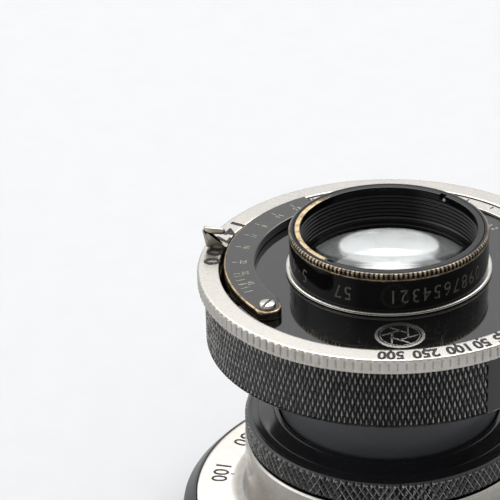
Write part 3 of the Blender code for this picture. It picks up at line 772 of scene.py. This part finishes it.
# ---------- shutter
def shutter_housing():
    r0, r1, z0, z1 = span("shutter_housing")
    rear = 28.7
    start, end = HOUSING_KNURL
    per_degree = HOUSING_DIAMONDS * KNURL_CELLS / 360.0
    knurled = np.arange(math.ceil(start * per_degree), end * per_degree) / per_degree
    plain = np.arange(end, start + 360.0, 0.8)
    azimuths = np.sort(np.concatenate([knurled, plain]) % 360.0)

    def shape(r, z, around):
        height = diamonds(around, z, HOUSING_DIAMONDS, HOUSING_DIAMOND_Z)
        in_knurl = (around > start) & (around < end)
        groove = r1 - np.where(in_knurl, HOUSING_KNURL_DEPTH * (1.0 - height), 0.06)
        return np.where((z > rear + 0.3) & (r > r1 - 0.5), np.minimum(r, groove), r)

    # Bare metal on the diamond tips: partly real wear, mostly painted glints that stand in for the
    # highlights on the crests.
    def tip_wear_and_painted_glints(r, z, around):
        ridge = diamonds(around, z, HOUSING_DIAMONDS, HOUSING_DIAMOND_Z, 1.3, 0.6)
        in_knurl = (z > rear + 0.5) & (r > r1 - 0.5) & (around > start) & (around < end)
        return np.where(in_knurl, 1.9 * ridge, 0.0)

    wall = diamond_rows(r1, rear + 0.55, z1 - 0.1, HOUSING_DIAMOND_Z)
    mesh = turned([
        (r0, z0), (11.1, z0), (11.1, rear), (r1 - 0.35, rear, 0.05), (r1 - 0.02, rear + 0.3, 0.05),
        *wall, (r1, z1, 0.06), (23.1, z1), (23.1, rear + 1.0), (r0, rear + 1.0)],
        azimuths, shape, tip_wear_and_painted_glints, depth=2.0)
    cocking = slab(sector(22.0, 26.0, 10.0, 58.0), 34.05, 34.95, 0.02, 1)
    release = slab(sector(22.0, 26.0, -29.5, -16.5), 30.4, 31.7, 0.02, 1)
    fine("shutter_housing", cut(mesh, [cocking, release]), "lens_head", "black_lacquer",
         HOUSING_LACQUER)


def cable_socket():
    """Bush for a cable release, with a knurled collar and a threaded mouth."""
    threads = [(1.1 - 0.1 * (k % 2), 27.4 - 0.2 * k, 0.02) for k in range(9)]
    outline = [(0.75, 24.35), (1.5, 24.35), (1.5, 25.2), (1.9, 25.4, 0.05), (1.9, 27.45, 0.05),
               (1.75, 27.6, 0.05), (1.2, 27.6, 0.05), *threads, (0.75, 25.4, 0.05)]
    flutes = 28

    def shape(r, z, around):
        groove = 1.9 - 0.09 * fluting(around, flutes)
        return np.where((z > 25.5) & (z < 27.3), np.minimum(r, groove), r)

    outline[4:4] = [(1.9, 25.7, 0), (1.9, 27.2, 0)]
    mesh = turned(outline, columns_round(flutes * 6), shape, depth=0.1)
    moved(mesh, (0.0, 0.0, SOCKET_Z), SOCKET_AZIMUTH, RADIAL)
    fine("cable_release_socket", mesh, "lens_head", "nickel_plate", NICKEL_PLATE)


def speed_ring():
    r0, r1, z0, z1 = span("speed_ring")

    def shape(r, z, around):
        groove = r1 - FLUTE_DEPTH * (1.0 - fluting(around, FLUTES)) ** 0.6
        return np.minimum(r, groove)

    mesh = turned([
        (r0, z0), (r1 - 0.12, z0, 0.02), (r1, z0 + 0.12, 0.05), (r1, z0 + 0.8, 0),
        (r1, z1 - 0.22, 0.08), (r1 - 0.22, z1, 0.08), (r0, z1, 0.12)],
        columns_round(FLUTES * 10), shape, depth=FLUTE_DEPTH * 1.25)
    fine("speed_ring", mesh, "speed_ring", "nickel_plate", NICKEL_PLATE)
    figures, figure_r, tick_r = [], 23.6, 22.4
    speeds = [("500", -89.4), ("250", -79.0), ("100", -69.2), ("50", -61.4), ("25", -54.0),
              ("10", -46.5), ("5", -40.0), ("2", -34.0), ("1", -28.0)]
    for text, azimuth in speeds:
        figures.append(on_face(glyph(text, 1.85, 0.1, 0.86), z1, figure_r, azimuth))
        figures.append(on_face(bar(0.34, 0.5), z1, tick_r, azimuth))
    for text, azimuth in (("1", 151.5), ("4", 157.5), ("7", 163.5), ("10", 171.0), ("0", 178.8)):
        figures.append(on_face(glyph(text, 2.1, 0.1, 1.25), z1, 23.1, azimuth, outward=False))
    for k, azimuth in enumerate((10.0, 16.0, 22.0, 28.0)):
        figures.append(on_face(glyph(str(k + 6), 2.0, 0.13, 0.8), z1, 23.0, azimuth, outward=False))
    marks("speed_figures", figures, "speed_ring", "nickel_plate", BLACK_PAINT)


def faceplate():
    r0, r1, z0, z1 = span("faceplate")
    path, path_r = (145.0, 209.0), 21.45    # the pointer's way across the edge

    def shape(r, z, around):
        notch = (z > 37.6) & (around > path[0]) & (around < path[1])
        return np.where(notch, np.minimum(r, path_r), r)

    mesh = turned([
        (r0, z0), (13.0, z0), (13.0, 37.7), (r1, 37.7), (r1, z1 - 0.25, 0.04),
        (r1 - 0.3, z1, 0.04), (r0, z1)],
        columns_round(ROUND, path), shape, depth=50.0, gain=0.5)
    fine("faceplate", mesh, "lens_head", "black_enamel", FACE_ENAMEL)
    centre = polar(17.9, -85.6)
    badge = [ring_inlay(2.72, 3.12), ring_inlay(2.42, 2.54)]
    for k in range(6):
        co, faces = bar(0.22, 2.7)
        co = co + np.array([1.0, 0.62, 0.0])
        turn = math.radians(60.0 * k)
        x = co[:, 0] * math.cos(turn) - co[:, 1] * math.sin(turn)
        y = co[:, 0] * math.sin(turn) + co[:, 1] * math.cos(turn)
        badge.append((np.column_stack([x, y, co[:, 2]]), faces))
    placed = [(co + np.array([*centre, z1]), faces) for co, faces in badge]
    marks("iris_badge", placed, "lens_head", "nickel_plate", NICKEL_PLATE)
    small = [on_face(glyph(text, 1.0, 0.01), z1, 17.75, azimuth)
             for text, azimuth in (("4", 44.0), ("3", 40.5), ("2", 37.0))]
    marks("face_figures", small, "lens_head", "nickel_plate", PALE_PAINT)


def scale_plates():
    z0, z1 = span("aperture_scale_plate")[2:]
    start, end = PLATE_ARC
    tab = polar(TAB_CENTRE_R, TAB_AZIMUTH)
    outer = arc_points((0, 0), PLATE_R1, start, end, 80)
    outer += arc_points(tab, TAB_R, TAB_AZIMUTH - 20.0, TAB_AZIMUTH + 155.0, 24)
    inner = arc_points((0, 0), PLATE_R0, end, start, 80)
    worn = [1.0] * len(outer) + [0.1] * len(inner)
    plate = slab(outer + inner, z0, z1, 0.14, worn=worn)
    fine("aperture_scale_plate", plate, "lens_head", "black_enamel", PLATE_ENAMEL)
    screw_top = span("scale_screw")[3]
    head = screw_mesh(1.05, 0.7, 0.36, 62.0)
    fine("scale_screw", moved(head, (*tab, screw_top)), "lens_head", "brass", NICKEL_PLATE)
    figures = []
    stops = [("4.5", 131.0), ("5.6", 141.0), ("8", 151.5), ("11", 161.0), ("16", 171.0),
             ("22", 183.4), ("32", 192.5), ("45", 201.0)]
    for text, azimuth in stops:
        figures.append(on_face(glyph(text, 0.9, 0.0, 0.75), z1, 18.9, azimuth, outward=False))
        figures.append(on_face(bar(0.11, 0.8), z1, 20.0, azimuth))
    for k in range(5):
        figures.append(on_face(bar(0.11, 1.2), z1, 19.9, 194.5 + 3.1 * k))
    marks("aperture_figures", figures, "lens_head", "black_enamel", PALE_PAINT)

    z0, z1 = span("scale_arc")[2:]
    band = slab(sector(*ARC_BAND), z0, z1, 0.06)
    fine("scale_arc", band, "lens_head", "nickel_plate", NICKEL_PLATE)
    strokes = [on_face(bar(0.2, 0.7), z1, 21.3, azimuth)
               for azimuth in (48.8, 59.5, 70.0, 81.0, 92.0, 103.0, 114.0, 119.0)]
    marks("arc_marks", strokes, "lens_head", "nickel_plate", BLACK_PAINT)


def aperture_pointer():
    """A bent strip that widens a little upwards, with a round pin lying across its top."""
    outline = [(20.9, 32.25), (22.0, 32.25), (22.0, 39.1), (24.4, 39.1), (24.9, 41.6),
               (24.7, 41.9), (24.5, 41.6), (24.05, 39.5), (21.55, 39.5), (21.55, 32.75),
               (20.9, 32.75)]
    points, _ = rounded(outline, 0.16)
    strip = slab(points, -0.6, 0.6, 0.07, 2)
    co = np.array([v.co for v in strip.vertices]) / MM
    width = np.interp(co[:, 1], [39.4, 41.9], [0.7, 0.9])
    placed = np.column_stack([co[:, 0], co[:, 2] * width, co[:, 1]]) * MM
    strip.vertices.foreach_set("co", placed.ravel())
    strip.flip_normals()
    pin = spun([(0, 21.9), (0.22, 21.92), (0.38, 22.05), (0.46, 22.3), (0.46, 24.5),
                (0.38, 24.75), (0.2, 24.88), (0, 24.9)], 32)
    moved(pin, (0.0, 0.0, 41.5), matrix=RADIAL)
    mesh = moved(joined(strip, pin), turn=POINTER_AZIMUTH)
    fine("aperture_pointer", mesh, "aperture_ring", "nickel_plate", POINTER_NICKEL)


def levers():
    arm = slab(bar_outline(18.6, 27.6, 2.2), 34.25, 34.75, 0.08, 2)
    ribs = 20

    def shape(r, z, around):
        return np.minimum(r, 1.2 - 0.1 * fluting(around, ribs))

    pad = turned([
        (0.3, 33.4), (1.2, 33.4, 0.1), (1.2, 34.0, 0), (1.2, 36.0, 0), (1.2, 36.6, 0.15),
        (0.3, 36.6)], columns_round(ribs * 6), shape, depth=0.12)
    cap = spun([(0, 33.45), (0.4, 33.45), (0.4, 36.5), (0.3, 36.56), (0, 36.58)], 32)
    for mesh in (pad, cap):
        moved(mesh, (26.4, 0.0, 0.0))
    mesh = moved(joined(arm, pad, cap), turn=COCKING_AZIMUTH)
    fine("cocking_lever", mesh, "cocking_lever", "nickel_plate", NICKEL_PLATE)

    arm = slab(bar_outline(-1.4, 6.9, 2.0), 30.6, 31.5, 0.1, 2)
    hole = spun([(0, 30.0), (0.7, 30.0), (0.7, 32.0), (0, 32.0)], 32)
    arm = moved(cut(arm, [hole]), (RELEASE_PIVOT_R, 0.0, 0.0))
    pad = slab(sector(26.1, 27.2, -2.2, 2.2, 0.5), 29.9, 33.0, 0.12)
    grip = [slab(sector(27.1, 27.28, a - 0.14, a + 0.14, 0.2), 30.2, 32.7, 0.03, 1)
            for a in (-1.6, -0.8, 0.0, 0.8, 1.6)]
    mesh = moved(joined(arm, pad, *grip), turn=RELEASE_AZIMUTH)
    fine("release_lever", mesh, "release_lever", "nickel_plate", NICKEL_PLATE)


# ---------- lens cells
def front_cell():
    r0, r1, z0, z1 = span("front_cell_barrel")
    foot = 38.95
    band = 43.5             # the beads start here

    def beads(r, z, around):
        bead = r1 - BEAD_DEPTH * (1.0 - fluting(around, RIM_BEADS))
        return np.where((z > band) & (r > 12.6), np.minimum(r, bead), r)

    def wear(r, z, around):
        ridge = fluting(around, RIM_BEADS) ** 2
        rim = np.where((z > band) & (r > 12.7), 1.1 * ridge + 0.1, 0.0)
        below = np.where((z > band - 0.8) & (z <= band) & (r > 12.6), 0.52, 0.0)
        return rim + below

    mesh = turned([
        (r0, z0), (12.0, z0), (12.0, foot), (r1 - 0.06, foot, 0.05), (r1 - 0.06, 42.3, 0),
        (r1 - 0.06, 42.45, 0), (r1 - 0.06, band - 0.12, 0.03), (r1 - 0.14, band - 0.06, 0.03),
        (r1 - 0.06, band, 0.03), (r1, band + 0.1, 0.08), (r1, band + 0.3, 0),
        (r1, z1 - 0.25, 0.1), (r1 - 0.25, z1 - 0.03, 0.06), (12.4, z1, 0.04),
        (12.4, 39.5), (11.2, 39.5), (11.2, 37.45), (10.6, 37.45), (10.6, 35.8), (r0, 35.8)],
        columns_round(RIM_BEADS * 6), beads, wear, depth=0.3, gain=0.3)
    fine("front_cell_barrel", mesh, "lens_head", "black_lacquer", CELL_ENAMEL)
    wall = r1 - 0.06
    figures = []
    text = "1 : 4.5   75   1234567890   "
    step = 360.0 / (2 * len(text))
    for k in range(2 * len(text)):
        character = text[k % len(text)]
        if character != " ":
            mark = glyph(character, 2.0, 0.0, 0.85)
            figures.append(on_wall(mark, wall, 41.0, 176.0 + step * k))
    marks("cell_figures", figures, "lens_head", "black_lacquer", WORN_PAINT)

    r0, r1, z0, z1 = span("front_retaining_ring")
    ribs, pitch = 7, 0.53
    inner = []
    for k in range(ribs):
        top = z1 - 0.85 - pitch * k
        bore = 11.52 - 0.012 * k
        inner += [(bore, top, 0.06), (bore, top - 0.3 * pitch, 0.06),
                  (bore + 0.17, top - 0.5 * pitch, 0.06), (bore + 0.17, top - 0.8 * pitch, 0.06)]
    notches, notch_half = (232.0, 52.0), 2.4

    def slots(r, z, around):
        near = np.minimum(*(np.abs(around - notch) for notch in notches)) < notch_half
        return np.where(near & (z > z1 - 0.75) & (r < 12.0), 12.0, r)

    breaks = [n + side for n in notches for side in (-notch_half, notch_half)]

    # Bare brass on the inner top face: full on the left between azimuths 155 and 226, fading out
    # towards 110 and 230, and little elsewhere.
    def brass_on_left_top(r, z, around):
        bright = np.interp(around, (110.0, 155.0, 226.0, 230.0), (0.3, 1.0, 1.0, 0.2))
        return np.where((z > z1 - 0.12) & (r < 12.13), bright, 0.0)

    mesh = turned([
        (r0, z0), (11.1, z0), (11.1, 39.55), (r1, 39.55), (r1, z1, 0.06), (12.16, z1, 0),
        (12.12, z1, 0), (11.52, z1, 0.08),
        *inner, (11.42, z1 - 0.95 - pitch * ribs, 0.06), (11.4, 39.2, 0.05), (r0, 39.0)],
        columns_round(ROUND, breaks), slots, brass_on_left_top, fillet=0.05, depth=50.0, gain=0.0)
    fine("front_retaining_ring", mesh, "lens_head", "brass", RING_ENAMEL)

    r0, r1, z0, z1 = span("front_seat_ring")
    mesh = turned([
        (r0, z0), (r1 - 0.12, z0, 0.04), (r1, z0 + 0.1, 0.05), (r1, z0 + 0.16, 0.05),
        (r1 - 0.11, z0 + 0.225, 0.03), (r1, z0 + 0.29, 0.05), (r1 - 0.03, z1 - 0.06, 0.05),
        (r1 - 0.2, z1, 0.05), (r0, z1)], columns_round(), fillet=0.04)
    fine("front_seat_ring", mesh, "lens_head", "nickel_plate", NICKEL_PLATE)


def glass_elements():
    """The four elements: edge radius, z of both edges, bulge of both faces and material."""
    steps = 20
    for node, edge_r, z0, z1, rear, front, material in (
            ("front_element", 11.1, 37.52, 38.5, -0.25, 1.7, CROWN_GLASS),
            ("second_element", 10.5, 35.88, 37.0, 0.35, -0.35, FLINT_GLASS),
            ("rear_flint_element", 10.45, 20.4, 22.5, 0.9, -0.5, FLINT_GLASS),
            ("rear_crown_element", 10.45, 18.4, 20.3, -0.9, 0.9, CROWN_GLASS)):
        shares = np.linspace(0.0, 1.0, steps + 1)
        low = [(edge_r * s, z0 + rear * (1 - s * s)) for s in shares]
        high = [(edge_r * s, z1 + front * (1 - s * s)) for s in shares[::-1]]
        fine(node, spun(low + high, 128), "lens_head", "optical_glass", material)


def rear_cell():
    r0, r1, z0, z1 = span("rear_cell_barrel")
    grooves = [(11.9 - 0.12 * (k % 2), 23.4 - 0.3 * k, 0.03) for k in range(14)][::-1]
    mesh = turned([
        (r0, 23.0), (10.6, 23.0), (10.6, z0 + 0.2, 0.05), (10.8, z0, 0.08), (11.7, z0, 0.08),
        (r1, z0 + 0.2, 0.05), *grooves, (r1, 24.75), (9.75, 24.75), (9.75, z1), (r0, z1)])
    fine("rear_cell_barrel", mesh, "lens_head", "black_lacquer", REAR_LACQUER)
    r0, r1, z0, z1 = span("rear_retaining_ring")

    def slots(r, z, around):
        near = (np.abs(around - 90.0) < 4.0) | (np.abs(around - 270.0) < 4.0)
        return np.where(near & (z < z0 + 0.6) & (r < 10.0), 10.0, r)

    mesh = turned([
        (r0, z0, 0.1), (r1, z0), (r1, z1), (r0, z1, 0.1), (r0, z0 + 0.62, 0), (r0, z0 + 0.58, 0)],
        columns_round(ROUND, (86.0, 94.0, 266.0, 274.0)), slots, depth=50.0)
    fine("rear_retaining_ring", mesh, "lens_head", "brass", TURNED_BRASS)


def carried_over():
    """The inner pieces keep their CAD meshes and take the fine materials."""
    for material, nodes in CARRIED_OVER.items():
        for node in nodes:
            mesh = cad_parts[node].data
            mesh.materials.clear()
            mesh.materials.append(material)


# ---------- studio
def camera():
    """The view from the front, above and a little to the right of the lens."""
    data = bpy.data.cameras.new("camera")
    data.lens = CAMERA_LENS
    data.sensor_width = 36.0
    data.clip_start = 0.01
    elevation = math.radians(CAMERA_ELEVATION)
    target = Vector((0.0, 0.0, span("speed_ring")[2]))
    back = Vector((0.0, -math.cos(elevation), math.sin(elevation)))
    ahead, right = -back, Vector((1.0, 0.0, 0.0))
    up = right.cross(ahead)
    pan = Matrix.Rotation(math.radians(CAMERA_PAN), 3, up)
    ahead, right = pan @ ahead, pan @ right
    tilt = Matrix.Rotation(math.radians(CAMERA_TILT), 3, right)
    ahead, up = tilt @ ahead, tilt @ up
    obj = add_object("camera", data)
    turn = Matrix((right, up, -ahead)).transposed()
    obj.matrix_world = Matrix.Translation((target + back * CAMERA_DISTANCE) * MM) @ turn.to_4x4()
    bpy.context.scene.camera = obj


def floor():
    mesh = bpy.data.meshes.new("floor")
    half = 3.0                  # in metres
    mesh.from_pydata([(-half, -half, 0), (half, -half, 0), (half, half, 0), (-half, half, 0)],
                     [], [(0, 1, 2, 3)])
    s = Shader("floor_paper", Base_Color=(0.45, 0.45, 0.453, 1.0))
    s.bump(s.noise(1.5, 3.0), 0.05)
    mesh.materials.append(s.drive(Roughness=s.steps(s.noise(0.2), 0.3, 0.7, 0.7, 0.8)))
    obj = add_object("floor", mesh)
    obj.location.z = -FLOOR_GAP * MM


def studio():
    """A white tent, brighter behind the lens, with a window high behind it and light at a side."""
    world = bpy.data.worlds.new("studio")
    bpy.context.scene.world = world
    world.use_nodes = True
    tree = world.node_tree
    background = tree.nodes["Background"]
    direction = tree.nodes.new("ShaderNodeTexCoord").outputs["Generated"]

    def patch(azimuth, elevation, inner, outer, strength):
        """A soft round patch of light."""
        x, y = polar(math.cos(math.radians(elevation)), azimuth)
        dot = tree.nodes.new("ShaderNodeVectorMath")
        dot.operation = "DOT_PRODUCT"
        dot.inputs[1].default_value = (x, y, math.sin(math.radians(elevation)))
        tree.links.new(direction, dot.inputs[0])
        ease = tree.nodes.new("ShaderNodeMapRange")
        ease.interpolation_type = "SMOOTHSTEP"
        for socket, value in zip(list(ease.inputs)[1:5], (
                math.cos(math.radians(outer)), math.cos(math.radians(inner)), 0.0, strength)):
            socket.default_value = value
        tree.links.new(dot.outputs["Value"], ease.inputs[0])
        return ease.outputs["Result"]

    def combined(operation, first, second=EVEN_LIGHT):
        """Two outputs, or an output and the even light, through a Math node."""
        node = tree.nodes.new("ShaderNodeMath")
        node.operation = operation
        tree.links.new(first, node.inputs[0])
        if isinstance(second, float):
            node.inputs[1].default_value = second
        else:
            tree.links.new(second, node.inputs[1])
        return node.outputs[0]

    total = combined("ADD", patch(*BACK_GLOW))
    total = combined("ADD", combined("MULTIPLY", patch(*WINDOW), patch(*ABOVE_SILL)), total)
    total = combined("ADD", patch(*SIDE_LIGHT), total)
    tree.links.new(total, background.inputs["Strength"])
    background.inputs["Color"].default_value = (0.985, 0.99, 1.0, 1.0)
    bpy.context.scene.view_settings.view_transform = "Standard"


camera()
floor()
studio()
base_ring()
distance_flange()
focus_ring()
lens_barrel()
shutter_housing()
cable_socket()
speed_ring()
faceplate()
scale_plates()
aperture_pointer()
levers()
front_cell()
glass_elements()
rear_cell()
carried_over()
